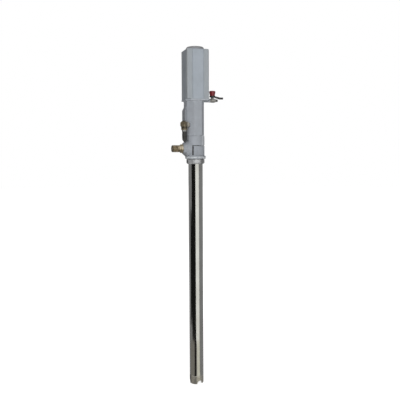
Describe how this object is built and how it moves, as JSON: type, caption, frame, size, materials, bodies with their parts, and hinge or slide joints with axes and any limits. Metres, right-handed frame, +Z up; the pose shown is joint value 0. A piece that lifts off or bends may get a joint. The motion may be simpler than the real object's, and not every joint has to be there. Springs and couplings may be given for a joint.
{
  "type": "drum grease pump",
  "caption": "Compressed-air grease pump for a drum: covered air motor on a cast body, side outlet, lever air valve and a long suction tube with a notched foot.",
  "frame": {"origin": "on the pump's axis, at the collar nut's lower end, where a drum's adapter stops on the suction tube", "axes": "+Z up along the axis of the suction tube, +X towards the air inlet, -X along the grease outlet"},
  "size_m": [0.2005, 0.0961, 1.2805],
  "materials": {
    "tube_steel": "drawn and polished steel tube, lightly brushed along its length",
    "foot_steel": "turned steel, satin",
    "zinc_steel": "zinc plated steel",
    "bright_rod": "hard chromed and ground",
    "cast_alloy": "sand blasted die-cast alloy with machined faces",
    "cover_alloy": "anodised extruded alloy, satin",
    "honed_steel": "honed steel",
    "brass": "machined brass",
    "nickel_brass": "nickel plated brass",
    "silencer_black": "moulded plastic, matt",
    "cap_black": "moulded plastic, matt",
    "cap_red": "moulded plastic, semi-gloss",
    "lever_black": "black painted steel",
    "seal_rubber": "nitrile rubber",
    "seal_white": "white fluoropolymer"
  },
  "bodies": {
    "pump": {"pump_tube": "tube_steel", "foot_cage": "foot_steel", "collar_nut": "zinc_steel", "tube_gasket": "seal_rubber", "priming_cylinder": "honed_steel", "foot_valve_seat": "honed_steel", "pump_cylinder": "honed_steel", "cylinder_ring": "honed_steel", "outlet_body": "cast_alloy", "outlet_nipple": "brass", "rod_packing": "seal_white", "gland_nut": "brass", "lock_screw": "zinc_steel", "motor_body": "cast_alloy", "spool_plug": "zinc_steel", "exhaust_elbow": "brass", "silencer_collar": "silencer_black", "silencer": "silencer_black", "lower_head": "cast_alloy", "rod_seal": "seal_rubber", "upper_head": "cast_alloy", "air_cylinder": "honed_steel", "lower_bumper": "seal_rubber", "upper_bumper": "seal_rubber", "tie_rods": "zinc_steel", "tie_rod_nuts": "zinc_steel", "motor_cover": "cover_alloy", "cap_stud": "zinc_steel", "cover_cap": "cap_black", "inlet_valve_body": "nickel_brass", "inlet_valve_end": "nickel_brass", "valve_seats": "seal_white", "stem_seal": "seal_white"},
    "stroke": {"air_piston": "cast_alloy", "air_piston_seal": "seal_rubber", "air_piston_nut": "zinc_steel", "motor_rod": "bright_rod", "rod_coupling": "zinc_steel", "connecting_rod": "bright_rod", "pump_piston": "honed_steel", "pump_piston_seals": "seal_white", "piston_seat": "honed_steel", "shovel_rod": "bright_rod", "shovel_plate": "honed_steel", "shovel_nut": "zinc_steel"},
    "check_ball": {"piston_ball": "bright_rod"},
    "foot_disc": {"foot_valve_disc": "honed_steel"},
    "spool": {"valve_spool": "honed_steel", "spool_seals": "seal_rubber"},
    "lever": {"valve_lever": "lever_black", "lever_cap": "cap_red", "lever_nut": "zinc_steel", "valve_stem": "nickel_brass", "valve_ball": "nickel_brass"}
  },
  "joints": [
    {"name": "stroke_slide", "type": "slide", "parent": "pump", "child": "stroke", "axis": [0, 0, 1], "range_m": [0, 0.1]},
    {"name": "check_ball_lift", "type": "slide", "parent": "stroke", "child": "check_ball", "axis": [0, 0, 1], "range_m": [0, 0.004]},
    {"name": "foot_disc_lift", "type": "slide", "parent": "pump", "child": "foot_disc", "axis": [0, 0, 1], "range_m": [0, 0.006]},
    {"name": "spool_shift", "type": "slide", "parent": "pump", "child": "spool", "axis": [0, 0, 1], "range_m": [0, 0.01]},
    {"name": "inlet_lever_turn", "type": "hinge", "parent": "pump", "child": "lever", "pos_m": [0.067, 0, 0.237], "axis": [0, 0, 1], "range_deg": [0, 90]}
  ]
}
